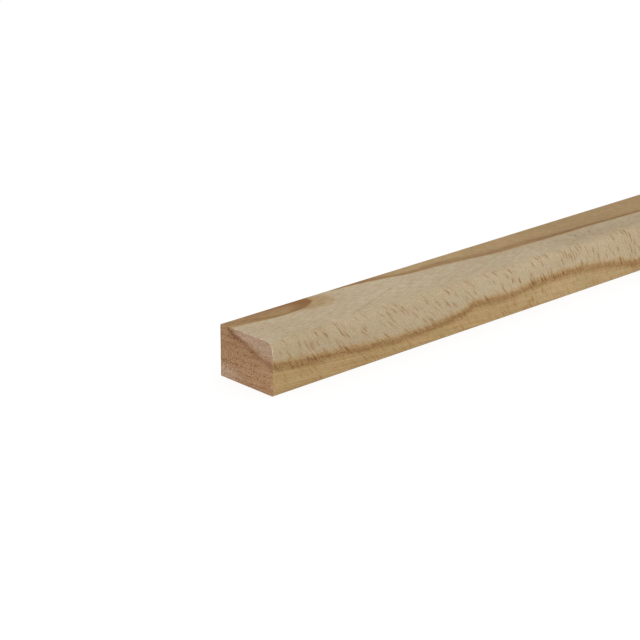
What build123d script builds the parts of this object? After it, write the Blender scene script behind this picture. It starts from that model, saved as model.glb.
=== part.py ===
"""Planed hardwood strip: one length of solid beech, sawn and planed to a plain rectangular section.

The long edge where the top meets the front face is rounded over. The other three long edges are only
eased, as the planer leaves them, and both ends are cut square.

Frame: X runs along the length, Y across the width with the front face at -Y, and Z up from the face
that the strip lies on. The origin is at the centre of that face.
"""

import os

from build123d import *

# Driving dimensions, in millimetres
LENGTH = 1000.0
WIDTH = 21.0
HEIGHT = 15.0
ROUNDED_EDGE_RADIUS = 2.5
EASED_EDGE_RADIUS = 0.25


def top_front_corner(outline):
    """The outline's highest corner on the front side, where the rounded edge goes."""
    return outline.vertices().group_by(Axis.Y)[-1].sort_by(Axis.X)[0]


def strip_section():
    """The cross-section on the YZ plane: three eased corners and one rounded corner, lying on the origin."""
    rectangle = Rectangle(WIDTH, HEIGHT, align=(Align.CENTER, Align.MIN))
    plain_corners = rectangle.vertices() - ShapeList([top_front_corner(rectangle)])
    eased = fillet(plain_corners, EASED_EDGE_RADIUS)
    return Plane.YZ * fillet(top_front_corner(eased), ROUNDED_EDGE_RADIUS)


wood_strip = extrude(strip_section(), amount=LENGTH / 2, both=True)
wood_strip.label = "wood_strip"

os.makedirs("parts", exist_ok=True)
export_step(wood_strip, "parts/wood_strip.step")
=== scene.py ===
"""Looks of a planed beech strip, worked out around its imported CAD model.

The file is laid out as a Blender add-on and is run as a script. One closed surface stands for the strip: its
section carried along its length and turned in over both sawn ends. The colour belongs to the timber and not
to the faces: brown heartwood lies under a pale sapwood corner, so every face shows a cut of the same log.

Blender works in metres. Names ending in _MM, and the timber's own coordinates, are in millimetres: along the
strip from its near end, across it from its front face, and up from the face that it lies on.
"""

import functools
import math

import bpy
import numpy as np
from bpy.props import FloatProperty, FloatVectorProperty, PointerProperty
from mathutils import Matrix, Vector


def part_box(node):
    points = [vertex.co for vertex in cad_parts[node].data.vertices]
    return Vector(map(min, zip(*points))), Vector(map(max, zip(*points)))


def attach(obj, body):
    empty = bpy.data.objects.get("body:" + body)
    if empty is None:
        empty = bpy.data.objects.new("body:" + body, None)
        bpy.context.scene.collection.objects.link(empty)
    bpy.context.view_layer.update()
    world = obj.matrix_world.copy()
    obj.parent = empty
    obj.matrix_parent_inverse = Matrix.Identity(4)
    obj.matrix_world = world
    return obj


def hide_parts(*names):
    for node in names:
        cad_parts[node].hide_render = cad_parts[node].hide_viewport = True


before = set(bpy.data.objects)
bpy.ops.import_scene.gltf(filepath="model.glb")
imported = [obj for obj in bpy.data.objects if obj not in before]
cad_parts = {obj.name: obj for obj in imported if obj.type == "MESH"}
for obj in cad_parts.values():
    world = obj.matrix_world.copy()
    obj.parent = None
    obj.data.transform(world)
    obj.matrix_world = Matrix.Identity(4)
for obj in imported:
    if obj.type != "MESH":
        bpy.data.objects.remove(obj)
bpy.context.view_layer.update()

bl_info = {
    "name": "Planed Beech Strip",
    "version": (1, 0, 0),
    "blender": (4, 5, 0),
    "location": "3D View > Sidebar > Beech Strip",
    "description": "Makes a planed beech strip with a rounded long edge, and its stage",
    "category": "Object",
}

MM = 0.001
STRIP_NODE = "wood_strip"
STRIP_LOW, STRIP_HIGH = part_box(STRIP_NODE)
LENGTH, WIDTH, HEIGHT = STRIP_HIGH - STRIP_LOW
LENGTH_MM, WIDTH_MM, HEIGHT_MM = LENGTH / MM, WIDTH / MM, HEIGHT / MM
PICTURE_PIXELS = 640.0

# Curves along the strip, whose knots are (distance from the near end, value)

# Heartwood: its height on the front face, and how far from the front face it comes up through the top face.
# A place past the strip's width means that it stays below the top there.
HEART_ON_FRONT = (
    (0, 9.8), (22, 7.9), (50, 5.7), (66, 6.3), (74, 7.3), (78.5, 8.7), (82, 8.3), (88, 7.8), (108, 8.9),
    (127, 8.4), (139, 6.9), (152, 4.4), (190, 2.2), (250, 4.6), (330, 8.2), (410, 7.4), (500, 4.2),
    (590, 6.0), (680, 9.2), (770, 8.0), (860, 5.6), (940, 6.8), (1000, 8.5),
)
HEART_ON_TOP = (
    (0, 17.1), (3, 16.4), (11, 15.3), (18, 14.7), (24, 15.0), (29, 16.0), (33, 19.0), (36, 22.5),
    (40, 20.9), (46, 20.1), (56, 18.5), (67, 15.9), (78, 15.0), (102, 11.7), (127, 11.0), (163, 9.3),
    (230, 10.5), (310, 14.0), (390, 18.5), (450, 23.0), (520, 19.0), (600, 14.5), (690, 12.0), (780, 14.5),
    (850, 19.0), (910, 17.0), (1000, 15.5),
)
# Bend of the heartwood's surface between those two lines, as a power; 1 is an even slope
HEART_BEND = (
    (0, 1.05), (1.5, 2.1), (4, 2.7), (9, 3.2), (23, 3.0), (29, 1.3), (36, 1.0), (45, 1.4), (62, 1.7),
    (95, 1.4), (500, 1.4), (1000, 1.5),
)
# How thick the heartwood's dark layer is, and how much wider than that it shows on the top face
LAYER_THICKNESS = ((0, 0.92), (6, 1.05), (26, 1.05), (38, 0.95), (66, 0.95), (90, 1.0), (1000, 1.0))
LAYER_ON_TOP = (
    (0, 2.5), (8, 2.2), (14, 0.9), (30, 0.9), (60, 0.85), (95, 1.0), (110, 0.9), (122, 0.55), (160, 0.55),
    (300, 0.8), (1000, 0.8),
)
# How dark the layer's edge is on the top face, and how sharply the heartwood ends there
EDGE_DARK = (
    (0, 0.0), (7, 0.05), (13, 0.7), (22, 0.75), (30, 0.7), (40, 0.3), (60, 0.1), (90, 0.15), (110, 0.05),
    (122, 0.7), (150, 0.7), (250, 0.45), (1000, 0.45),
)
EDGE_SHARP = (
    (0, 1.0), (8, 1.0), (12, 0.7), (27, 0.65), (36, 1.2), (110, 1.2), (122, 0.95), (150, 0.95), (250, 1.2),
    (1000, 1.2),
)
# How much of the sapwood's colour is left in the heartwood's tan, on the front and on the top
PALER_FRONT = ((0, 0.0), (82, 0.0), (105, 0.13), (150, 0.22), (220, 0.1), (1000, 0.1))
PALER_TOP = ((0, 0.0), (55, 0.06), (70, 0.08), (90, 0.08), (106, 0.0), (1000, 0.0))
# How marked the grain's streaks are in the heartwood
STREAK_SHARE = ((0, 1.0), (28, 1.0), (42, 0.8), (62, 0.8), (90, 0.5), (150, 0.4), (300, 0.9), (1000, 0.8))
# How far the rays lean along the strip for each mm of height, and how strong their flecks are
RAY_LEAN = (
    (0, 0.6), (12, 0.7), (30, 1.0), (50, 1.0), (68, 0.85), (84, 0.72), (100, 0.5), (145, 0.48), (400, 0.6),
    (700, 0.9), (1000, 0.7),
)
FLECK_STRENGTH = (
    (0, 1.0), (10, 1.2), (28, 1.2), (50, 1.15), (68, 1.1), (84, 0.95), (100, 1.45), (116, 1.15), (130, 0.95),
    (145, 1.25), (165, 1.0), (1000, 1.0),
)
# How dark and red the heartwood is on the top face, most of all at its tongue's tip
TONGUE_DARK = (
    (0, 0.0), (6, 0.04), (10, 0.28), (14, 0.38), (20, 0.4), (25, 0.52), (28.5, 1.0), (33, 0.9), (40, 0.6),
    (52, 0.4), (64, 0.05), (80, 0.0), (1000, 0.0),
)
# By what share the front and the top are lighter. Up to about 160 mm from the near end this is painted
# light:
# the front grows lighter along the strip and the top darker. Further on it is the wood's tone drifting
FRONT_TONE_AND_LIGHT = (
    (0, -0.05), (30, -0.045), (55, -0.03), (85, 0.02), (120, 0.06), (150, 0.05), (300, 0.0), (550, 0.04),
    (800, -0.03), (1000, 0.02),
)
TOP_TONE_AND_LIGHT = (
    (0, -0.02), (60, 0.0), (90, -0.05), (108, -0.05), (130, -0.15), (160, -0.15), (300, 0.0), (550, -0.04),
    (800, 0.0), (1000, -0.02),
)

# Places and shares on single faces

# By what share the sawn ends are lighter, as (height, share), and what their heartwood gains for each mm
# nearer the front
END_TONE = ((0, 0.02), (4.5, 0.03), (7, -0.02), (9, -0.08), (12, -0.06), (15, -0.06))
END_LEAN = 0.005
# Bend of the heartwood's surface on the sawn ends, past where it meets the top
STEEP_BEND = 3.5
# Share by which the heartwood's dark layer thins from the front face to the back
LAYER_THINNING = 0.4
# How deep in that layer its edge on the top face already is, and the scale of depths there
GRAZE_DEPTH, GRAZE_SCALE = 1.0, 0.65
# Where the first tongue of heartwood on the top ends, how fast it sinks there for each mm along, and how far
# past its end the next one is left alone
TONGUE_END, TONGUE_FALL, TONGUE_GAP = 30.1, 0.28, 9
# How far from the front face its rounded end starts to turn back, and how far and with what power it does
TONGUE_TURN, TONGUE_ROUND, TONGUE_POWER = 18.2, 1.0, 1.5
# Soft spots on the top face, as a middle and a reach along and across: the tongue's darker stretch by the
# back edge, with its share, and the tan fringe round the tongue
TONGUE_BACK, TONGUE_BACK_SHARE = ((19.0, 20.8), (9.5, 1.6)), 0.4
TONGUE_FRINGE = ((29.5, 17.0), (9.0, 4.6))
# Soft spots on the sawn ends, as a middle and a reach across and up: a lighter corner, the dark stretch of
# one growth ring, and the darkest and the faintest stretch of the heartwood's layer
PALE_CORNER = ((19.5, 1.6), (6.2, 2.2))
DARK_RING = ((17.5, 5.05), (6.0, 0.42))
END_BLOTCH = ((15.7, 13.6), (2.8, 1.2))
END_FAINT = ((3.5, 9.6), (5.5, 2.4))
# Growth rings: the height of the lowest on the near end, their spacing, their slopes along and across, how
# far along the slope across comes in, and the height and length of their slow wave
RING_START, RING_SPACING = 1.31, 1.85
RING_FALL, RING_TILT, RING_TILT_REACH = 0.039, 0.11, 40
RING_WAVE, RING_WAVE_LENGTH = 0.4, 150
# How far the grain's streaks fall for each mm along the strip
GRAIN_FALL = 0.085
# Two small dents in the top face, as distance along and across, their half length and width, and their turn
DENTS = ((129.0, 6.6), (135.0, 6.3))
DENT_REACH, DENT_TURN = (1.4, 0.5), math.radians(-45)

# Sawn ends' edges

# The pale rim along the sawn ends' edges is torn fibres with a painted highlight on them
# Height and reach of the most torn and highlighted spot of the front edge, and how much more it is
TORN_HIGHLIT_SPOT_HEIGHT, TORN_HIGHLIT_SPOT_REACH, TORN_HIGHLIT_SPOT_SHARE = 12.2, 0.8, 0.4
# How torn and highlighted the front edge is at least and at most, and how it grows: the height over which it
# gains 1, and what it lacks at the floor
TORN_HIGHLIT_FRONT, TORN_HIGHLIT_RISE, TORN_HIGHLIT_LACK = (0.5, 0.8), 8, 0.5
# How torn and highlighted the top edge is before the heartwood and past it, and the share of the width where
# that starts
TORN_HIGHLIT_TOP, TORN_HIGHLIT_HEART = (1.0, 0.8), 0.76
# Share of the torn and highlighted rim that is left on the next ring along the strip
RIM_FADE = 0.45
# Width of the painted shade along the sawn ends' eased back edge, a dark line: where it starts and where it
# is full, from that edge
BACK_RIM_SHADE = (0.55, 0.15)
# Share of the chips on the back and the underside, and how far before the back edge that starts
HIDDEN_CHIPS, HIDDEN_FROM = 0.2, 2
# Share of a corner's radius that may be worn away, and the seeds of the near and the far end's chips
CORNER_WEAR, NEAR_SEED, FAR_SEED = 0.8, 1, 2

# Mesh: steps round the four long edges, rings over a sawn end and round its worn edge, and the rings next to
# it as shares of the fine step, clear of the deepest chip
ARC_STEPS = (4, 4, 4, 12)
CAP_RINGS, EDGE_RINGS = 10, 5
CLOSE_RINGS = (0.6, 0.8)
# Bake map: lengths that the sides are cut into, the gap between them in mm, and the sawn ends' scale
BAKE_ROWS, BAKE_GAP, BAKE_END_SCALE = 4, 1.2, 1.45

# Grain patterns, by the size of their lumps in mm

# On the long faces, along and round the section
FLECK_WARP, FLECK_WARP_REACH = (2.0, 2.6), (0.95, 0.9)
FLECK_CROWD = (7.0, 4.0)
RAY_RUN_OUT = (1.0, 2.8)
RAY_STREAK = (0.8, 3.4)
LAYER_STREAK = (3.5, 0.5)
LAYER_GRAIN = (0.6, 0.5)
FRINGE_LUMP = (2.5, 1.5)
VESSEL_DASH = (2.6, 0.45)
SPECKLE = (0.45, 0.38)
HEART_STREAK = (24.0, 0.5)
TONE_DRIFT, TOP_CLOUD = (22.0, 7.0), (7.0, 2.5)
HUE_PATCH = (11.0, 4.5)
RING_STRETCH = (14.0, 6.0)
# On the sawn ends, across and up
SAWN_EDGE = (2.4, 1.6)
SAWN_CLOUD = (4.5, 1.1)
SAW_TOOTH = (0.75, 0.42)
RING_DOT = (1.4, 0.9)
# Boxes that each hold one pore, and the shift of the painted highlights that lie beside the pores
PORE_BOX, LIT_OFFSET = (0.85, 0.68), (0.35, 0.2, 0.0)
# Through the timber, along, across and up
RADIAL_WANDER, TANGENTIAL_WANDER = (6.0, 4.0, 4.0), (18.0, 6.0, 6.0)
# Lumps of the pale rim's torn fibres and painted highlight
TORN_HIGHLIT_FIBRE = (0.65, 0.65, 0.65)
# Ray flecks in two sizes, as (box that holds one, chance from which one shows, greatest strength)
FLECK_KINDS = (((1.3, 6.4), 0.28, 0.78), ((1.15, 4.2), 0.32, 0.74))

# Colours across the heartwood's boundary: (depth in mm, shares of sapwood, heartwood and boundary)
BOUNDARY_STOPS = (
    (-0.7, (1.0, 0.0, 0.0)), (0.0, (0.52, 0.44, 0.04)), (0.6, (0.12, 0.56, 0.32)), (1.3, (0.0, 0.0, 1.0)),
    (2.2, (0.0, 0.0, 0.95)), (2.9, (0.0, 0.5, 0.5)), (3.8, (0.0, 1.0, 0.0)),
)
BOUNDARY_SPAN = (-1.5, 6.5)
# A change of tone reaches red less than blue: darker wood is browner
TONE_TINT = (0.76, 1.0, 1.36)
SLOW_TINT = (0.87, 1.0, 1.17)
# How the planed faces' hue drifts, between pinker and greener
HUE_DRIFT = (0.7, -0.7, 0.3)


# Settings that a user can change

def length(name, description, default):
    """A length's property."""
    return FloatProperty(name=name, description=description, default=default, precision=5, unit="LENGTH")


def plain_colour(name, description, default):
    """A colour's property."""
    return FloatVectorProperty(name=name, description=description, default=default, subtype="COLOR", size=3)


def colour_left(name, where, default):
    """The property of a share of the wood's own colour; above 1 it makes the wood lighter."""
    return FloatVectorProperty(
        name=name, description=f"Share of the wood's colour that is left {where}",
        default=default, subtype="COLOR", size=3, soft_max=2.0,
    )


class StripSizes(bpy.types.PropertyGroup):
    """Sizes of the strip's surface that the frame doesn't give."""

    rounded_radius: length("Rounded edge", "Radius of the long edge between top and front", 2.5 * MM)
    eased_radius: length("Eased edges", "Radius of the three other long edges", 0.25 * MM)
    end_radius: length("Worn end edges", "Radius to which the sawn ends' edges are worn", 0.12 * MM)
    chip_depth: length("Chip depth", "How much further those edges are worn at the deepest chips", 0.5 * MM)
    chip_spacing: length("Chip spacing", "Distance between chips along those edges", 0.8 * MM)
    across_step: length("Step across", "Longest mesh edge on the flats of the section", 0.5 * MM)
    fine_step: length("Step near the ends", "Mesh step along the strip near its ends", 1.25 * MM)
    fine_reach: length("Reach of that step", "Distance from each end over which that step is kept", 170 * MM)
    coarse_step: length("Step between", "Mesh step along the middle of the strip", 5 * MM)


class BeechColours(bpy.types.PropertyGroup):
    """Colours of the timber, as they look in plain light."""

    sapwood: plain_colour("Sapwood", "Pale wood of the top front corner", (0.470, 0.369, 0.235))
    heartwood: plain_colour("Heartwood", "Tan wood away from the boundary", (0.449, 0.306, 0.142))
    boundary: plain_colour("Boundary", "Dark layer just inside the heartwood", (0.362, 0.221, 0.094))
    tongue_tip: plain_colour("Tongue tip", "Reddish tip of the top face's tongue", (0.231, 0.096, 0.0235))
    # Torn fibres with a painted highlight on them, lighter than any of the wood
    frayed_and_highlight: plain_colour("Frayed fibres", "Pale torn fibres along the sawn ends' edges", (0.70, 0.57, 0.43))
    streak: colour_left("Streaks", "in the dark layer's streaks", (0.64, 0.55, 0.43))
    ray: colour_left("Ray flecks", "on a ray fleck", (0.67, 0.47, 0.265))
    grazed: colour_left("Grazed heartwood", "in the heartwood on the top face", (0.88, 0.85, 0.81))
    grazed_edge: colour_left("Grazed edge", "where the layer's edge is darkest on top", (0.84, 0.77, 0.57))
    radial: colour_left("Radial faces", "on the front and back faces", (0.993, 0.993, 0.99))
    end_grain: colour_left("End grain", "on a sawn end", (0.86, 0.74, 0.78))
    end_heart: colour_left("End heartwood", "in a sawn end's heartwood", (0.915, 0.915, 0.98))
    end_layer: colour_left("End layer", "in a sawn end's dark layer", (0.98, 0.99, 1.10))
    end_blotch: colour_left("End blotch", "in that layer's darkest stretch", (0.80, 0.75, 0.72))
    end_faint: colour_left("End faint", "in that layer's faintest stretch", (1.10, 1.12, 1.14))
    ring: colour_left("Growth rings", "on a ring's line", (0.78, 0.66, 0.52))
    # Painted shade along the sawn ends' eased back edge
    back_rim_shade: colour_left("Back rim", "along a sawn end's back edge", (0.74, 0.60, 0.48))
    dent: colour_left("Dents", "in a dent", (0.64, 0.64, 0.66))
    pore: colour_left("Pores", "in an open pore", (0.54, 0.40, 0.30))


class StageSettings(bpy.types.PropertyGroup):
    """Floor, lamps and camera."""

    azimuth: FloatProperty(
        name="Camera azimuth", description="Turn of the camera round the strip",
        default=math.radians(42.96), subtype="ANGLE",
    )
    elevation: FloatProperty(
        name="Camera elevation", description="Height of the camera above the horizon",
        default=math.radians(20.08), subtype="ANGLE",
    )
    focal_pixels: FloatProperty(
        name="Focal length", description="Focal length in pixels of the square picture",
        default=2204.0, subtype="PIXEL",
    )
    corner_depth: length("Corner depth", "Depth of the near end's lower front corner", 0.5845)
    corner_pixel: FloatVectorProperty(
        name="Corner pixel", description="Where the near end's lower front corner falls in the picture",
        default=(272.44, 397.0), size=2,
    )
    floor_colour: plain_colour("Floor", "Colour of the pale floor", (0.9, 0.9, 0.9))
    floor_glow: FloatProperty(
        name="Floor glow", description="Share of the floor that the camera sees as plain white",
        default=0.8, subtype="FACTOR",
    )
    floor_white: FloatProperty(
        name="Floor white", description="Brightness of that white", default=1.06,
    )
    floor_size: length("Floor size", "Side of the square floor", 40.0)
    world_strength: FloatProperty(
        name="World", description="Brightness of the even studio light from all sides", default=0.86,
    )
    key_place: FloatVectorProperty(
        name="Key lamp place", description="Middle of the long soft lamp, from the strip's middle",
        default=(0.0, -1.25, 0.35), subtype="TRANSLATION", unit="LENGTH", size=3,
    )
    key_size: FloatVectorProperty(
        name="Key lamp size", description="Length and width of the long soft lamp",
        default=(2.2, 0.8), unit="LENGTH", size=2,
    )
    key_power: FloatProperty(
        name="Key lamp power", description="Power of the long soft lamp before and above the strip",
        default=2.5, unit="POWER",
    )
    end_lamp_place: FloatVectorProperty(
        name="End lamp place", description="Middle of each end lamp, outwards from its end of the strip",
        default=(0.8, -0.35, 0.45), subtype="TRANSLATION", unit="LENGTH", size=3,
    )
    end_lamp_size: length("End lamp size", "Side of the square soft lamp before each end", 0.6)
    end_lamp_power: FloatProperty(
        name="End lamp power", description="Power of the soft lamp before each end",
        default=1.7, unit="POWER",
    )


# Section and surface

def smooth_line(knots, places):
    """A smooth curve through knots, read at places.

    Between two knots it is a cubic that has at each knot the slope of the curve's neighbouring stretches.
    """
    at, value = np.array(knots, float).T
    slope = np.gradient(value, at)
    i = np.clip(np.searchsorted(at, places, side="right") - 1, 0, len(at) - 2)
    span = at[i + 1] - at[i]
    t = (np.clip(places, at[0], at[-1]) - at[i]) / span
    rise = value[i + 1] - value[i]
    return (
        value[i]
        + span * slope[i] * (t - 2 * t**2 + t**3)
        + rise * (3 * t**2 - 2 * t**3)
        + span * slope[i + 1] * (t**3 - t**2)
    )


def strip_section(sizes):
    """The section's outline, anticlockwise: points and outward normals on (Y, Z), and radii.

    Each corner is a quarter circle from the side that comes in to the side that goes out. With unit
    directions a of the first and b of the second, it is centre + radius * (a * sin(t) - b * cos(t)) for
    t from 0 to 90 degrees, and the bracket is the outward normal. Equal steps along the flats join the
    corners; a flat's radius is given as the strip's width. The outline starts half way round the lower
    front corner, where the ends of its unrolled length don't show.
    """
    low, high = np.array(STRIP_LOW)[1:], np.array(STRIP_HIGH)[1:]
    corners = np.array([low, (high[0], low[1]), high, (low[0], high[1])])
    radii = (sizes.eased_radius, sizes.eased_radius, sizes.eased_radius, sizes.rounded_radius)
    going_out = np.roll(corners, -1, axis=0) - corners
    going_out /= np.linalg.norm(going_out, axis=1, keepdims=True)
    coming_in = np.roll(going_out, 1, axis=0)
    arcs, normals = [], []
    for corner, radius, steps, a, b in zip(corners, radii, ARC_STEPS, coming_in, going_out):
        t = np.linspace(0, math.pi / 2, steps + 1)[:, None]
        normal = a * np.sin(t) - b * np.cos(t)
        arcs.append(corner + radius * (b - a) + radius * normal)
        normals.append(normal)
    points, outward, bends = [], [], []
    for arc, normal, radius, next_arc in zip(arcs, normals, radii, arcs[1:] + arcs[:1]):
        run = next_arc[0] - arc[-1]
        steps = math.ceil(np.linalg.norm(run) / sizes.across_step)
        t = np.linspace(0, 1, steps + 1)[1:-1, None]
        points += [arc, arc[-1] + run * t]
        outward += [normal, np.repeat(normal[-1:], steps - 1, axis=0)]
        bends += [np.full(len(arc), radius), np.full(steps - 1, WIDTH)]
    half_corner = ARC_STEPS[0] // 2
    return tuple(np.roll(np.concatenate(rows), -half_corner, axis=0) for rows in (points, outward, bends))


def worn_radius(sizes, girth, bends, seed):
    """Radius to which a sawn end's edge is worn at each place round it, with chips here and there.

    Chances are drawn at even knots round the section and joined by straight lines; their square leaves most
    of the edge nearly whole. The small corners are never worn past their own radius.
    """
    perimeter = girth.max()
    knots = round(perimeter * MM / sizes.chip_spacing)
    chances = np.random.default_rng(seed).random(knots) ** 2
    places = np.arange(knots) * perimeter / knots
    chips = np.interp(girth, places, chances, period=perimeter)
    # The back and the underside, from just before the far edge of the top on, are left almost whole
    chips *= np.where(girth < HEIGHT_MM + WIDTH_MM - HIDDEN_FROM, 1.0, HIDDEN_CHIPS)
    return np.minimum(sizes.end_radius + sizes.chip_depth * chips, CORNER_WEAR * bends)


def sawn_end(worn):
    """Rings of one sawn end: depth into the strip, inset and share of the section's size, at each spot.

    They spread from near the end's middle and turn its worn edge as a quarter circle of the radius worn.
    """
    cap_share = np.linspace(0, 1, CAP_RINGS + 2)[1:-1, None]
    turn = np.linspace(0, math.pi / 2, EDGE_RINGS)[:, None]
    flat = np.ones_like(cap_share)
    return np.stack([
        np.concatenate([0 * flat * worn, (1 - np.cos(turn)) * worn]),
        np.concatenate([flat * worn, (1 - np.sin(turn)) * worn]),
        np.concatenate([cap_share * np.ones_like(worn), np.ones_like(turn * worn)]),
    ])


def strip_path(sizes, girth, bends):
    """The rings of the whole strip: distance along, inset and share of the section's size, at each spot.

    They cover the near end, run along the strip in steps that are finer near its ends, and close the far
    end.
    """
    near = sawn_end(worn_radius(sizes, girth, bends, NEAR_SEED))
    far = sawn_end(worn_radius(sizes, girth, bends, FAR_SEED))[:, ::-1]
    far[0] = LENGTH - far[0]
    fine_count = round(sizes.fine_reach / sizes.fine_step)
    coarse_count = round((LENGTH - 2 * sizes.fine_reach) / sizes.coarse_step)
    fine = np.linspace(0, sizes.fine_reach, fine_count + 1)[1:]
    coarse = np.linspace(sizes.fine_reach, LENGTH - sizes.fine_reach, coarse_count + 1)[1:-1]
    close = sizes.fine_step * np.array(CLOSE_RINGS)
    along = np.concatenate([close, fine, coarse, LENGTH - fine[::-1], LENGTH - close[::-1]])
    level = np.ones((len(along), len(girth)))
    run = np.stack([along[:, None] * level, 0 * level, level])
    return np.concatenate([near, run, far], axis=1)


def heartwood_depth(along, across, height, facing_up, on_end):
    """How far below the heartwood's upper surface each place lies, in mm; above it the depth is negative.

    That surface rises from its height on the front face to where it meets the top: height is
    front + (top - front) * (across / place on top) ** bend, and it is steep on the sawn ends past that
    place. Its dark layer thins towards the back, so depths count for more there. The first tongue of
    heartwood on the top sinks evenly away at its rounded end. The top face grazes the layer, so there the
    depth is already well into the layer at its edge, and changes at the pace that the curves along the
    strip give.
    """
    front = smooth_line(HEART_ON_FRONT, along)
    meets_top = smooth_line(HEART_ON_TOP, along)
    bend = np.where((on_end > 0.5) & (across > meets_top), STEEP_BEND, smooth_line(HEART_BEND, along))
    surface = front + (HEIGHT_MM - front) * (np.clip(across, 0, None) / meets_top) ** bend
    depth = (surface - height) * (1 + LAYER_THINNING * across / WIDTH_MM)
    depth = np.where(depth > 0, depth / smooth_line(LAYER_THICKNESS, along), depth)
    tongue_end = TONGUE_END - TONGUE_ROUND * np.clip(TONGUE_TURN - across, 0, None) ** TONGUE_POWER
    too_deep = np.clip(depth - TONGUE_FALL * (tongue_end - along), 0, None)
    depth = depth - facing_up * np.where(along < TONGUE_END + TONGUE_GAP, too_deep, 0)
    wider = np.where(depth > 0, smooth_line(LAYER_ON_TOP, along), 1)
    sharper = np.where(depth < 0, smooth_line(EDGE_SHARP, along), GRAZE_SCALE / wider - 1)
    return depth + facing_up * (GRAZE_DEPTH + sharper * depth)


def soft_spot(first, second, middle, reach):
    """A round soft spot on a face, 1 at its middle and falling off as a bell curve."""
    return np.exp(-((first - middle[0]) / reach[0]) ** 2 - ((second - middle[1]) / reach[1]) ** 2)


def timber_attributes(points, girth, facing_up, on_radial, on_end):
    """Each vertex's place in the log and on its face, by the names that the material reads.

    skin is the distance along and the distance round the section; ray_skin leans with the rays and
    grain_skin falls with the grain. sawn is the place across and up, moved aside on the far end so that
    the ends differ.
    """
    along, across, height = ((points - np.array(STRIP_LOW)) / MM).T
    flat = np.zeros_like(along)
    near = along < LENGTH_MM / 2
    leaning = along + smooth_line(RAY_LEAN, along) * height
    aside = 10 * WIDTH_MM * (along > LENGTH_MM / 2)
    depth = heartwood_depth(along, across, height, facing_up, on_end)
    tilt = RING_TILT * np.clip(along / RING_TILT_REACH, 0, 1)
    wave = RING_WAVE * np.sin(along / RING_WAVE_LENGTH)
    tongue_back = TONGUE_BACK_SHARE * soft_spot(along, across, *TONGUE_BACK)
    # The front's and the top's tones: painted light near the near end, the wood's drifting tone further on
    tones = on_radial * smooth_line(FRONT_TONE_AND_LIGHT, along) + (1 - on_radial) * smooth_line(TOP_TONE_AND_LIGHT, along)
    end_tones = smooth_line(END_TONE, height) + END_LEAN * (WIDTH_MM / 2 - across) * np.clip(depth, 0, 1)
    paler = on_radial * smooth_line(PALER_FRONT, along) + facing_up * smooth_line(PALER_TOP, along)
    return {
        "timber": np.stack([along, across, height], axis=1),
        "skin": np.stack([along, girth, flat], axis=1),
        "ray_skin": np.stack([leaning, girth, flat], axis=1),
        "grain_skin": np.stack([along, girth + GRAIN_FALL * along, flat], axis=1),
        "sawn": np.stack([across + aside, height, flat], axis=1),
        "heart_depth": depth,
        "ring_place": height + RING_FALL * along - tilt * across + wave,
        "tongue": facing_up * (smooth_line(TONGUE_DARK, along) + tongue_back),
        "tongue_fringe": facing_up * soft_spot(along, across, *TONGUE_FRINGE),
        "edge_dark": facing_up * smooth_line(EDGE_DARK, along),
        "dark_ring": near * soft_spot(across, height, *DARK_RING),
        "end_blotch": near * soft_spot(across, height, *END_BLOTCH),
        "end_faint": near * soft_spot(across, height, *END_FAINT),
        "pale_corner": soft_spot(across, height, *PALE_CORNER),
        "slow_tone_and_light": np.where(on_end > 0.5, end_tones, tones),
        "streak_share": smooth_line(STREAK_SHARE, along),
        "fleck_strength": smooth_line(FLECK_STRENGTH, along),
        "paler": np.where(on_end > 0.5, 0, paler),
    }


def bake_map(mesh, points, along, girth):
    """Lays the surface out flat for baking, at nearly one scale.

    The unrolled sides are cut into equal lengths, which lie above each other. The sawn ends lie beside them,
    a little larger than life.
    """
    across, height = ((points - np.array(STRIP_LOW)) / MM).T[1:]
    rings, count = along.shape
    row_length = LENGTH_MM / BAKE_ROWS
    row_height = girth.max() + BAKE_GAP
    ring, spot = np.meshgrid(np.arange(rings - 1), np.arange(count), indexing="ij")
    ring_corners = np.stack([ring, ring + 1, ring + 1, ring], axis=-1)
    spot_corners = np.stack([spot, spot, spot + 1, spot + 1], axis=-1)
    distance = along[ring_corners, spot_corners % count] / MM
    row = np.clip(np.floor(distance.mean(axis=-1, keepdims=True) / row_length), 0, BAKE_ROWS - 1)
    round_section = np.append(girth, 0)[spot_corners]
    sides = np.stack([distance - row_length * row, round_section + row_height * row], axis=-1)

    corners = np.zeros(len(mesh.loops), np.int32)
    mesh.loops.foreach_get("vertex_index", corners)
    far = points[corners, 0] > (STRIP_LOW[0] + STRIP_HIGH[0]) / 2
    ends = BAKE_END_SCALE * np.stack([across[corners], height[corners] + 2 * HEIGHT_MM * far], axis=-1)
    places = ends + np.array((row_length + BAKE_GAP, BAKE_GAP))
    end_rings = CAP_RINGS + EDGE_RINGS // 2
    on_side = (ring >= end_rings) & (ring < rings - 1 - end_rings)
    loops_on_side = np.repeat(on_side.ravel(), 4)
    quad_places = places[:len(loops_on_side)]
    quad_places[loops_on_side] = sides.reshape(-1, 2)[loops_on_side]
    layer = mesh.uv_layers.new(name="OFBake")
    layer.uv.foreach_set("vector", (places / (BAKE_ROWS * row_height)).astype(np.float32).ravel())


def strip_faces(rings, count):
    """Faces between neighbouring rings, and a fan round each end's pole; the poles come last."""
    ring, spot = np.meshgrid(np.arange(rings - 1), np.arange(count), indexing="ij")
    start, beside = ring * count, (spot + 1) % count
    quads = np.stack([start + spot, start + count + spot, start + count + beside, start + beside], axis=-1)
    spots = np.arange(count)
    after = (spots + 1) % count
    near_pole, far_pole = rings * count, rings * count + 1
    last = (rings - 1) * count
    near_fan = np.stack([np.full(count, near_pole), spots, after], axis=1)
    far_fan = np.stack([np.full(count, far_pole), last + after, last + spots], axis=1)
    return quads.reshape(-1, 4).tolist() + near_fan.tolist() + far_fan.tolist()


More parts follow.
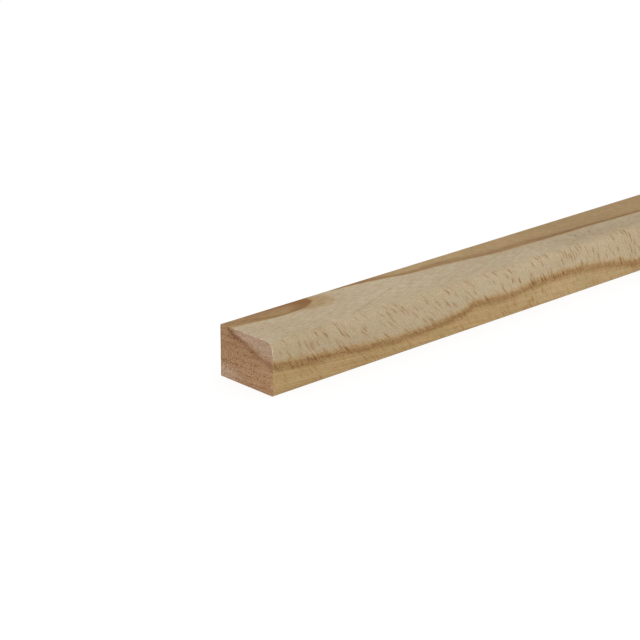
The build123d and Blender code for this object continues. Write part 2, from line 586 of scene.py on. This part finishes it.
def torn_and_highlit_edge(outline, normal, up):
    """How torn a sawn end's edge is at each spot, with its painted highlight: the top most, and the front
    more and more upwards.
    """
    from_front = (outline[:, 0] - STRIP_LOW[1]) / WIDTH
    from_floor = (outline[:, 1] - STRIP_LOW[2]) / MM
    torn_highlit_spot = soft_spot(from_floor, 0, (TORN_HIGHLIT_SPOT_HEIGHT, 0), (TORN_HIGHLIT_SPOT_REACH, 1))
    front = np.clip(from_floor / TORN_HIGHLIT_RISE - TORN_HIGHLIT_LACK, *TORN_HIGHLIT_FRONT) + TORN_HIGHLIT_SPOT_SHARE * torn_highlit_spot
    top = np.where(from_front < TORN_HIGHLIT_HEART, *TORN_HIGHLIT_TOP)
    return np.maximum(up * top, np.clip(-normal[:, 0], 0, 1) * front)


def strip_surface(sizes):
    """The strip as one closed surface: the section carried along its rings.

    A point is middle + share * (outline - inset * normal - middle) across the strip, at its ring's distance
    along it. One vertex closes each end at the section's middle.
    """
    outline, normal, bends = strip_section(sizes)
    steps = np.linalg.norm(np.roll(outline, -1, axis=0) - outline, axis=1) / MM
    # The section unrolled: distances from the lower front edge, up the front, over the top and round
    girth = steps.sum() - np.concatenate([[0], np.cumsum(steps)[:-1]])
    along, inset, share = strip_path(sizes, girth, bends)
    rings, count = along.shape
    middle = (np.array(STRIP_LOW)[1:] + np.array(STRIP_HIGH)[1:]) / 2
    across = middle + share[:, :, None] * (outline - inset[:, :, None] * normal - middle)
    grid = np.concatenate([STRIP_LOW[0] + along[:, :, None], across], axis=2).reshape(-1, 3)
    poles = np.array([(STRIP_LOW[0], *middle), (STRIP_HIGH[0], *middle)])
    points = np.concatenate([grid, poles])
    mesh = bpy.data.meshes.new("beech_strip")
    mesh.from_pydata(points, [], strip_faces(rings, count))
    mesh.shade_smooth()
    bake_map(mesh, points, along, girth)

    end_rings = CAP_RINGS + EDGE_RINGS - 1
    on_end = np.zeros(rings)
    on_end[:end_rings] = 1
    on_end[-end_rings:] = 1
    # The sawn ends' edge rings, and a share of the next ring, carry the torn fibres and their painted
    # highlight
    at_rim = np.zeros(rings)
    at_rim[end_rings - 1:end_rings + 2] = 1, 1, RIM_FADE
    at_rim[-end_rings - 2:-end_rings + 1] = RIM_FADE, 1, 1

    def everywhere(along_path, round_section, at_poles):
        """A value for each vertex: one for each ring times one for each point of the section."""
        return np.concatenate([np.outer(along_path, round_section).ravel(), (at_poles, at_poles)])

    all_rings, all_round = np.ones(rings), np.ones(count)
    up, sideways = np.clip(normal[:, 1], 0, 1), np.abs(normal[:, 0])
    attributes = timber_attributes(
        points, everywhere(all_rings, girth, 0), everywhere(1 - on_end, up, 0),
        everywhere(all_rings, sideways, 0), everywhere(on_end, all_round, 1),
    )
    attributes["radial_face"] = everywhere(all_rings, sideways, 0)
    attributes["end_grain"] = everywhere(on_end, all_round, 1)
    attributes["frayed_and_highlit_rim"] = everywhere(at_rim, torn_and_highlit_edge(outline, normal, up), 0)
    for name, values in attributes.items():
        kind, field = ("FLOAT_VECTOR", "vector") if values.ndim == 2 else ("FLOAT", "value")
        layer = mesh.attributes.new(name, kind, "POINT")
        layer.data.foreach_set(field, np.ascontiguousarray(values, dtype=np.float32).ravel())
    return mesh


# Materials

class NodeSheet:
    """A node tree with short calls that add a node, fill its inputs and return one of its outputs."""

    def __init__(self, tree):
        self.tree = tree

    def fill(self, socket, value):
        if isinstance(value, bpy.types.NodeSocket):
            self.tree.links.new(value, socket)
        else:
            socket.default_value = value

    def add(self, kind, inputs, output, **settings):
        node = self.tree.nodes.new(kind)
        for name, setting in settings.items():
            setattr(node, name, setting)
        for socket, value in inputs.items():
            self.fill(node.inputs[socket], value)
        return node.outputs[output]

    def attribute(self, name, output="Fac"):
        return self.add("ShaderNodeAttribute", {}, output, attribute_name=name)

    def math(self, operation, *values):
        return self.add("ShaderNodeMath", dict(enumerate(values)), 0, operation=operation)

    def vector(self, operation, *values):
        return self.add("ShaderNodeVectorMath", dict(enumerate(values)), 0, operation=operation)

    def step(self, value, low, high, to_low=0.0, to_high=1.0):
        """A smooth step from to_low to to_high as value goes from low to high."""
        inputs = dict(enumerate((value, low, high, to_low, to_high)))
        return self.add("ShaderNodeMapRange", inputs, 0, interpolation_type="SMOOTHSTEP")

    def mix(self, share, first, second, blend="MIX"):
        inputs = {0: share, 6: first, 7: second}
        return self.add("ShaderNodeMix", inputs, 2, data_type="RGBA", blend_type=blend)

    def toned(self, colour, tone):
        """A colour made lighter or darker by a tone round 1; the darker, the browner."""
        return self.tinted(colour, self.math("SUBTRACT", tone, 1.0), TONE_TINT)

    def tinted(self, colour, change, tint):
        """A colour changed by a share that reaches its channels unevenly."""
        return self.vector("MULTIPLY", colour, self.vector("MULTIPLY_ADD", change, tint, (1.0, 1.0, 1.0)))

    def chain(self, operation, values):
        """All values joined by one operation, from the first to the last."""
        return functools.reduce(functools.partial(self.math, operation), values)

    def sum(self, *values):
        return self.chain("ADD", values)

    def product(self, *values):
        return self.chain("MULTIPLY", values)

    def greatest(self, *values):
        return self.chain("MAXIMUM", values)

    def in_boxes(self, place, size):
        """A place counted in boxes of the given size, which has two or three numbers."""
        return self.vector("DIVIDE", place, (*size, 1.0)[:3])

    def noise(self, place, size, detail=2.0, roughness=0.5, output=0):
        """Noise round 0.5 whose lumps have the given size."""
        inputs = {"Vector": self.in_boxes(place, size), "Scale": 1.0}
        inputs.update({"Detail": detail, "Roughness": roughness})
        return self.add("ShaderNodeTexNoise", inputs, output, noise_dimensions=f"{len(size)}D")

    def swing(self, place, size, reach, detail=2.0):
        """Noise round 0, most of it within reach."""
        return self.step(self.noise(place, size, detail), 0.2, 0.8, -reach, reach)

    def wavered(self, place, size, reach):
        """A place moved about by noise, by up to about half of reach."""
        shift = self.vector("SUBTRACT", self.noise(place, size, 1.0, output=1), (0.5, 0.5, 0.5))
        return self.vector("MULTIPLY_ADD", shift, (*reach, 0.0), place)

    def scattered(self, place, size):
        """Distance to the nearest of scattered points, one in each box, and that point's chance, 0 to 1."""
        inputs = {"Vector": self.in_boxes(place, size), "Scale": 1.0}
        distance = self.add("ShaderNodeTexVoronoi", inputs, "Distance", voronoi_dimensions=f"{len(size)}D")
        chance = self.add("ShaderNodeSeparateColor", {0: distance.node.outputs["Color"]}, 0)
        return distance, chance


class BeechSheet(NodeSheet):
    """The timber's node sheet, with the places and the faces that its patterns read."""

    def __init__(self, tree):
        super().__init__(tree)
        self.timber = self.attribute("timber", "Vector")
        self.skin = self.attribute("skin", "Vector")
        self.ray_skin = self.attribute("ray_skin", "Vector")
        self.grain_skin = self.attribute("grain_skin", "Vector")
        self.sawn = self.attribute("sawn", "Vector")
        self.end = self.attribute("end_grain")
        self.side = self.math("SUBTRACT", 1.0, self.end)
        self.radial = self.product(self.step(self.attribute("radial_face"), 0.05, 0.5), self.side)
        self.tangential = self.math("SUBTRACT", self.side, self.radial)

    def shaded(self, colour, amount, share):
        """A colour of which only a share, itself a colour, is left where amount is 1."""
        return self.mix(amount, colour, self.mix(1.0, colour, rgba(share), "MULTIPLY"))


def rgba(colour):
    """A colour as a socket takes it, opaque."""
    return (*colour, 1.0)


def ring_lines(sheet):
    """Growth rings' dark lines, from 0 to 1, about 0.6 mm wide on each face.

    The top and the bottom face graze the rings, so there a line's width is measured on a gentler slope.
    """
    above = sheet.math("SUBTRACT", sheet.attribute("ring_place"), RING_START)
    ring = sheet.math("DIVIDE", above, RING_SPACING)
    nearest = sheet.math("SUBTRACT", sheet.math("FRACT", sheet.sum(ring, 0.5)), 0.5)
    off_line = sheet.math("ABSOLUTE", nearest)
    slope = sheet.step(sheet.tangential, 0.0, 1.0, 1.0, RING_TILT)
    distance = sheet.math("DIVIDE", sheet.product(off_line, RING_SPACING), slope)
    return sheet.step(distance, 0.5, 0.1)


def ray_flecks(sheet):
    """Ray flecks, from 0 to 1: leaning lenses of uneven length and strength on the radial faces.

    A fleck is what lies close to a scattered point, measured in boxes that are long along the rays. Two
    sizes of box lie over each other, and only some of their points are chosen.
    """
    bent = sheet.wavered(sheet.ray_skin, FLECK_WARP, FLECK_WARP_REACH)
    crowd = sheet.step(sheet.noise(sheet.skin, FLECK_CROWD, 1.0), 0.3, 0.6, 0.62, 1.0)
    flecks = []
    for size, least, strength in FLECK_KINDS:
        distance, chance = sheet.scattered(bent, size)
        chosen = sheet.step(chance, least, 0.97, 0.0, strength)
        core, halo = sheet.step(distance, 0.32, 0.12, 0.0, 0.85), sheet.step(distance, 0.6, 0.2, 0.0, 0.15)
        flecks.append(sheet.product(sheet.sum(core, halo), chosen))
    facing = sheet.product(sheet.step(sheet.attribute("radial_face"), 0.15, 0.65), sheet.side)
    return sheet.product(sheet.greatest(*flecks), crowd, facing, sheet.attribute("fleck_strength"))


def boundary_depth(sheet, flecks):
    """Depth below the heartwood's surface in mm, wandering, and run out along the rays on radial faces."""
    return sheet.sum(
        sheet.attribute("heart_depth"),
        sheet.product(sheet.swing(sheet.timber, RADIAL_WANDER, 0.25), sheet.radial),
        sheet.product(sheet.swing(sheet.timber, TANGENTIAL_WANDER, 0.35), sheet.tangential),
        sheet.product(sheet.swing(sheet.ray_skin, RAY_RUN_OUT, 0.45), sheet.radial),
        sheet.product(sheet.swing(sheet.sawn, SAWN_EDGE, 0.45), sheet.end),
        sheet.product(flecks, 0.5),
    )


def boundary_colours(sheet, colours, depth):
    """Colours across the heartwood's boundary: pale sapwood, a dark layer, and tan further in."""
    shallow, deep = BOUNDARY_SPAN
    share = sheet.add("ShaderNodeMapRange", dict(enumerate((depth, shallow, deep, 0.0, 1.0))), 0)
    node = sheet.tree.nodes.new("ShaderNodeValToRGB")
    sheet.fill(node.inputs[0], share)
    woods = np.array([colours.sapwood, colours.heartwood, colours.boundary])
    elements = node.color_ramp.elements
    while len(elements) < len(BOUNDARY_STOPS):
        elements.new(0.5)
    for element, (place, shares) in zip(elements, BOUNDARY_STOPS):
        element.position = (place - shallow) / (deep - shallow)
        element.color = rgba(np.array(shares) @ woods)
    return node.outputs[0]


def layer_streaks(sheet, flecks, depth, in_layer):
    """Dark streaks and grains in the heartwood's layer, from 0 to 1, strongest on the radial faces."""
    ray_streaks = sheet.step(sheet.noise(sheet.ray_skin, RAY_STREAK, 1.0), 0.5, 0.75, 0.0, 0.45)
    ray_streaks = sheet.product(ray_streaks, sheet.radial)
    grain_streaks = sheet.step(sheet.noise(sheet.skin, LAYER_STREAK, 1.0), 0.5, 0.72, 0.0, 0.4)
    grains = sheet.step(sheet.noise(sheet.skin, LAYER_GRAIN, 1.0), 0.46, 0.68, 0.0, 0.95)
    low_down = sheet.step(depth, 0.6, 1.7, 0.2, 1.0)
    grains = sheet.product(grains, sheet.attribute("streak_share"), sheet.radial, low_down)
    streaks = sheet.greatest(ray_streaks, grain_streaks, grains, sheet.product(flecks, 0.9))
    streaks = sheet.product(streaks, in_layer, sheet.side)
    return sheet.product(streaks, sheet.step(sheet.radial, 0.0, 1.0, 0.4, 1.0))


def heartwood_figure(sheet, colours, flecks):
    """The timber's colour with its heartwood: the dark layer and its streaks, and the top's tongue."""
    depth = boundary_depth(sheet, flecks)
    colour = boundary_colours(sheet, colours, depth)
    paler = sheet.product(sheet.attribute("paler"), sheet.step(depth, 2.2, 4.0))
    colour = sheet.mix(paler, colour, rgba(colours.sapwood))
    in_heart = sheet.step(depth, -0.1, 0.9)
    in_layer = sheet.product(in_heart, sheet.step(depth, 3.0, 1.9))
    streaks = layer_streaks(sheet, flecks, depth, in_layer)

    fringe = sheet.sum(sheet.attribute("tongue_fringe"), sheet.swing(sheet.skin, FRINGE_LUMP, 0.12))
    fringe = sheet.product(sheet.step(fringe, 0.12, 0.8), sheet.step(in_heart, 0.0, 1.0, 1.0, 0.0))
    colour = sheet.mix(sheet.product(fringe, 0.8), colour, rgba(colours.heartwood))
    colour = sheet.shaded(colour, streaks, colours.streak)
    on_top = sheet.product(sheet.greatest(in_heart, fringe), sheet.tangential)
    colour = sheet.shaded(colour, on_top, colours.grazed)
    in_edge = sheet.product(in_heart, sheet.step(depth, 2.5, 1.4))
    edge = sheet.product(sheet.attribute("edge_dark"), in_edge, sheet.tangential)
    colour = sheet.shaded(colour, edge, colours.grazed_edge)
    end_layer = sheet.product(in_layer, sheet.end)
    colour = sheet.shaded(colour, end_layer, colours.end_layer)
    for spot in ("end_blotch", "end_faint"):
        amount = sheet.product(end_layer, sheet.attribute(spot))
        colour = sheet.shaded(colour, amount, getattr(colours, spot))
    tongue = sheet.product(sheet.attribute("tongue"), sheet.greatest(in_heart, sheet.product(fringe, 0.1)))
    return sheet.mix(tongue, colour, rgba(colours.tongue_tip)), in_heart


def dents(sheet):
    """Small dents in the top face, from 0 to 1: short lenses set at 45 degrees to the grain."""
    marks = []
    for place in DENTS:
        apart = sheet.vector("SUBTRACT", sheet.timber, (*place, HEIGHT_MM))
        turn = {"Vector": apart, "Angle": DENT_TURN}
        turned = sheet.add("ShaderNodeVectorRotate", turn, 0, rotation_type="Z_AXIS")
        boxes = {0: sheet.in_boxes(turned, DENT_REACH)}
        lens = sheet.add("ShaderNodeVectorMath", boxes, "Value", operation="LENGTH")
        marks.append(sheet.step(lens, 1.0, 0.3))
    return sheet.greatest(*marks)


def planed_tone(sheet, in_heart):
    """Brightness of the planed faces round 1: vessel dashes, speckle, streaks and slow drifts."""
    dashes = sheet.noise(sheet.skin, VESSEL_DASH, 2.0, 0.6)
    speckle = sheet.noise(sheet.skin, SPECKLE, 1.0, 0.6)
    dash_strength = sheet.step(sheet.radial, 0.0, 1.0, 0.15, 0.04)
    speckle_strength = sheet.step(sheet.radial, 0.0, 1.0, 0.06, 0.13)
    streaks = sheet.swing(sheet.grain_skin, HEART_STREAK, 0.14)
    return sheet.sum(
        1.0,
        sheet.product(sheet.step(dashes, 0.28, 0.72, -1.0, 1.0), dash_strength),
        sheet.product(sheet.step(speckle, 0.25, 0.75, -1.0, 1.0), speckle_strength),
        sheet.product(streaks, in_heart, sheet.attribute("streak_share")),
        sheet.swing(sheet.skin, TONE_DRIFT, 0.04, 1.0),
        sheet.product(sheet.swing(sheet.skin, TOP_CLOUD, 0.03, 1.0), sheet.tangential),
    ), dashes


def sawn_finish(sheet, colours, colour, in_heart, lines):
    """Colour and relief of a sawn end: pinker, blotched, with dotted rings, pores and a coarse tooth."""
    tooth = sheet.noise(sheet.sawn, SAW_TOOTH, 2.0, 0.6)
    distance, chance = sheet.scattered(sheet.sawn, PORE_BOX)
    chosen = sheet.step(sheet.sum(chance, sheet.product(lines, 0.25)), 0.87, 0.97)
    chosen = sheet.product(chosen, sheet.step(in_heart, 0.0, 1.0, 0.8, 1.0))
    pores = sheet.product(sheet.step(distance, 0.4, 0.15), chosen)
    # Painted highlights beside some pores
    beside, chance_beside = sheet.scattered(sheet.vector("ADD", sheet.sawn, LIT_OFFSET), PORE_BOX)
    lit = sheet.product(sheet.step(beside, 0.4, 0.15), sheet.step(chance_beside, 0.78, 0.95, 0.0, 0.34))
    dotted = sheet.product(lines, sheet.step(sheet.noise(sheet.sawn, RING_DOT, 1.0), 0.35, 0.65))
    corner = sheet.product(sheet.step(sheet.attribute("pale_corner"), 0.05, 0.75), sheet.end, 0.7)
    tooth_reach = sheet.step(in_heart, 0.0, 1.0, 0.12, 0.2)
    tone = sheet.sum(
        1.0,
        sheet.product(sheet.step(tooth, 0.25, 0.75, -1.0, 1.0), tooth_reach),
        sheet.swing(sheet.sawn, SAWN_CLOUD, 0.1),
        sheet.product(dotted, in_heart, -0.16),
        sheet.product(sheet.attribute("dark_ring"), sheet.step(tooth, 0.35, 0.55, -0.5, -0.1)),
        sheet.product(corner, 0.16),
        lit,
    )
    across = sheet.add("ShaderNodeSeparateXYZ", {0: sheet.timber}, 1)
    # A dark line of painted shade along the back edge
    back_rim_shade = sheet.step(across, *(WIDTH_MM - gap for gap in BACK_RIM_SHADE))
    colour = sheet.shaded(colour, sheet.product(in_heart, sheet.end), colours.end_heart)
    colour = sheet.mix(corner, colour, rgba(colours.sapwood))
    sawn = sheet.toned(sheet.mix(1.0, colour, rgba(colours.end_grain), "MULTIPLY"), tone)
    sawn = sheet.shaded(sawn, pores, colours.pore)
    sawn = sheet.shaded(sawn, back_rim_shade, colours.back_rim_shade)
    relief = sheet.math("SUBTRACT", tooth, pores)
    return sheet.mix(sheet.end, colour, sawn), sheet.product(relief, sheet.end)


def beech_material(colours):
    """Planed beech: heartwood figure, leaning ray flecks, growth rings, and pores on the sawn ends."""
    material = bpy.data.materials.new("planed_beech")
    material.use_nodes = True
    sheet = BeechSheet(material.node_tree)
    lines = ring_lines(sheet)
    flecks = ray_flecks(sheet)
    colour, in_heart = heartwood_figure(sheet, colours, flecks)
    colour = sheet.shaded(colour, sheet.radial, colours.radial)
    fleck_share = sheet.product(flecks, sheet.step(in_heart, 0.0, 1.0, 1.0, 0.55))
    colour = sheet.shaded(colour, fleck_share, colours.ray)
    line_strength = sheet.step(sheet.noise(sheet.skin, RING_STRETCH, 0.0), 0.35, 0.6, 0.1, 0.5)
    on_top = sheet.product(sheet.tangential, sheet.step(in_heart, 0.0, 1.0, 1.0, 0.3))
    line_share = sheet.sum(on_top, sheet.product(sheet.radial, in_heart, 0.4))
    colour = sheet.shaded(colour, sheet.product(lines, line_strength, line_share), colours.ring)
    tone, dashes = planed_tone(sheet, in_heart)
    marks = dents(sheet)
    colour = sheet.shaded(colour, marks, colours.dent)
    # Slow tone of the wood, with painted light along the front and the top near the near end
    colour = sheet.tinted(colour, sheet.attribute("slow_tone_and_light"), SLOW_TINT)
    colour = sheet.tinted(colour, sheet.swing(sheet.skin, HUE_PATCH, 0.015, 1.0), HUE_DRIFT)
    planed = sheet.toned(colour, sheet.step(sheet.end, 0.0, 1.0, tone, 1.0))
    colour, sawn_relief = sawn_finish(sheet, colours, planed, in_heart, lines)
    # Pale rim along the sawn ends' edges: torn fibres with a painted highlight
    rim = sheet.sum(sheet.attribute("frayed_and_highlit_rim"), sheet.swing(sheet.timber, TORN_HIGHLIT_FIBRE, 0.5))
    colour = sheet.mix(sheet.step(rim, 0.94, 1.16), colour, rgba(colours.frayed_and_highlight))

    # Relief: the grain's fine ridges on the planed faces, and the saw's tooth and pores on the ends
    relief = sheet.sum(sheet.product(dashes, sheet.side, 0.3), sawn_relief, sheet.product(marks, -2.0))
    bump = sheet.add("ShaderNodeBump", {"Strength": 0.3, "Distance": 0.1 * MM, "Height": relief}, 0)
    rough = sheet.sum(sheet.step(dashes, 0.2, 0.8, 0.55, 0.68), sheet.product(sheet.end, 0.15))

    shader = material.node_tree.nodes["Principled BSDF"]
    sheet.fill(shader.inputs["Base Color"], colour)
    sheet.fill(shader.inputs["Roughness"], rough)
    sheet.fill(shader.inputs["Normal"], bump)
    shader.inputs["Specular IOR Level"].default_value = 0.15
    return material


def floor_material(settings):
    """A pale floor that shows near white to the camera and keeps a soft part of the strip's shadow."""
    material = bpy.data.materials.new("pale_floor")
    material.use_nodes = True
    sheet = NodeSheet(material.node_tree)
    shader = material.node_tree.nodes["Principled BSDF"]
    shader.inputs["Base Color"].default_value = rgba(settings.floor_colour)
    shader.inputs["Roughness"].default_value = 0.9
    shader.inputs["Specular IOR Level"].default_value = 0.1
    glow = {"Color": rgba((1, 1, 1)), "Strength": settings.floor_white}
    white = sheet.add("ShaderNodeEmission", glow, 0)
    seen = sheet.product(sheet.add("ShaderNodeLightPath", {}, "Is Camera Ray"), settings.floor_glow)
    both = sheet.add("ShaderNodeMixShader", {0: seen, 1: shader.outputs[0], 2: white}, 0)
    sheet.fill(material.node_tree.nodes["Material Output"].inputs["Surface"], both)
    return material


# Stage

def make_floor(settings):
    """A flat square under the strip, wide enough to fill every view."""
    half = settings.floor_size / 2
    corners = np.array([(-1, -1, 0), (1, -1, 0), (1, 1, 0), (-1, 1, 0)]) * half
    mesh = bpy.data.meshes.new("floor")
    mesh.from_pydata(corners + np.array((0, 0, STRIP_LOW[2])), [], [(0, 1, 2, 3)])
    mesh.materials.append(floor_material(settings))
    floor = bpy.data.objects.new("floor", mesh)
    bpy.context.collection.objects.link(floor)


def make_world(settings):
    """Even light from all sides, and white where the camera or a reflection sees past the floor."""
    world = bpy.data.worlds.new("studio")
    bpy.context.scene.world = world
    world.use_nodes = True
    sheet = NodeSheet(world.node_tree)
    path = sheet.add("ShaderNodeLightPath", {}, "Is Camera Ray").node
    seen = sheet.greatest(*(path.outputs[f"Is {ray} Ray"] for ray in ("Camera", "Glossy", "Transmission")))
    strength = sheet.add("ShaderNodeMapRange", {0: seen, 3: settings.world_strength, 4: 1.0}, 0)
    sheet.fill(world.node_tree.nodes["Background"].inputs["Color"], rgba((1, 1, 1)))
    sheet.fill(world.node_tree.nodes["Background"].inputs["Strength"], strength)


def make_lamp(name, place, target, size, power):
    """A soft lamp at place, turned towards target; size is its length, kept level, and its width."""
    lamp = bpy.data.lights.new(name, "AREA")
    lamp.shape = "RECTANGLE"
    lamp.size, lamp.size_y = size
    lamp.energy = power
    lamp_object = bpy.data.objects.new(name, lamp)
    lamp_object.location = place
    lamp_object.rotation_mode = "QUATERNION"
    lamp_object.rotation_quaternion = (target - place).to_track_quat("-Z", "Y")
    bpy.context.collection.objects.link(lamp_object)


def make_lamps(settings):
    """A long soft lamp before and above the whole strip, and a small one before each end."""
    middle = Vector((STRIP_LOW + STRIP_HIGH) / 2)
    key_place = middle + Vector(settings.key_place)
    make_lamp("key_lamp", key_place, middle, settings.key_size, settings.key_power)
    for name, end in (("near_end_lamp", STRIP_LOW[0]), ("far_end_lamp", STRIP_HIGH[0])):
        target = Vector((end, middle.y, middle.z))
        outwards, across, up = settings.end_lamp_place
        place = target + Vector((math.copysign(outwards, end), across, up))
        make_lamp(name, place, target, (settings.end_lamp_size,) * 2, settings.end_lamp_power)


def make_camera(settings):
    """The camera, placed so that the near end's lower front corner falls on its own pixel.

    With f the focal length in pixels and c the picture's middle, a point at pixel (px, py) and depth d
    lies at eye + d * (forward + (px - c) / f * right + (py - c) / f * down).
    """
    a, e = settings.azimuth, settings.elevation
    forward = Vector((math.sin(a) * math.cos(e), math.cos(a) * math.cos(e), -math.sin(e)))
    right = Vector((math.cos(a), -math.sin(a), 0))
    down = forward.cross(right)
    offset = (Vector(settings.corner_pixel) - Vector((PICTURE_PIXELS / 2,) * 2)) / settings.focal_pixels
    to_corner = settings.corner_depth * (forward + offset.x * right + offset.y * down)
    camera = bpy.data.cameras.new("camera")
    camera.sensor_width = 36.0
    camera.lens = settings.focal_pixels * camera.sensor_width / PICTURE_PIXELS
    camera_object = bpy.data.objects.new("camera", camera)
    camera_object.location = STRIP_LOW - to_corner
    camera_object.rotation_mode = "QUATERNION"
    camera_object.rotation_quaternion = Matrix((right, -down, -forward)).transposed().to_quaternion()
    bpy.context.collection.objects.link(camera_object)
    bpy.context.scene.camera = camera_object


# Operators, panel and run

class BEECH_OT_make_strip(bpy.types.Operator):
    """Make the beech strip's surface and finish"""

    bl_idname = "beech.make_strip"
    bl_label = "Make Strip"

    def execute(self, context):
        mesh = strip_surface(context.scene.strip_sizes)
        mesh.materials.append(beech_material(context.scene.beech_colours))
        strip = bpy.data.objects.new("beech_strip", mesh)
        context.collection.objects.link(strip)
        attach(strip, "root")
        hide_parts(STRIP_NODE)
        return {"FINISHED"}


class BEECH_OT_set_stage(bpy.types.Operator):
    """Lay the floor, hang the lamps and place the camera"""

    bl_idname = "beech.set_stage"
    bl_label = "Set Stage"

    def execute(self, context):
        settings = context.scene.stage_settings
        context.scene.view_settings.view_transform = "Standard"
        make_floor(settings)
        make_world(settings)
        make_lamps(settings)
        make_camera(settings)
        return {"FINISHED"}


class BEECH_PT_panel(bpy.types.Panel):
    """Buttons and settings of the beech strip"""

    bl_idname = "BEECH_PT_panel"
    bl_label = "Planed Beech Strip"
    bl_space_type = "VIEW_3D"
    bl_region_type = "UI"
    bl_category = "Beech Strip"

    def draw(self, context):
        for group, operator in PANEL_ROWS:
            box = self.layout.box()
            settings = getattr(context.scene, group)
            for name in settings.__annotations__:
                box.prop(settings, name)
            if operator:
                box.operator(operator)


GROUPS = {"strip_sizes": StripSizes, "beech_colours": BeechColours, "stage_settings": StageSettings}
PANEL_ROWS = tuple(zip(GROUPS, (None, "beech.make_strip", "beech.set_stage")))
CLASSES = (*GROUPS.values(), BEECH_OT_make_strip, BEECH_OT_set_stage, BEECH_PT_panel)


def register():
    for cls in CLASSES:
        bpy.utils.register_class(cls)
    for name, group in GROUPS.items():
        setattr(bpy.types.Scene, name, PointerProperty(type=group))


def unregister():
    for name in GROUPS:
        delattr(bpy.types.Scene, name)
    for cls in reversed(CLASSES):
        bpy.utils.unregister_class(cls)


def main():
    register()
    bpy.ops.beech.make_strip()
    bpy.ops.beech.set_stage()


if __name__ == "__main__":
    main()
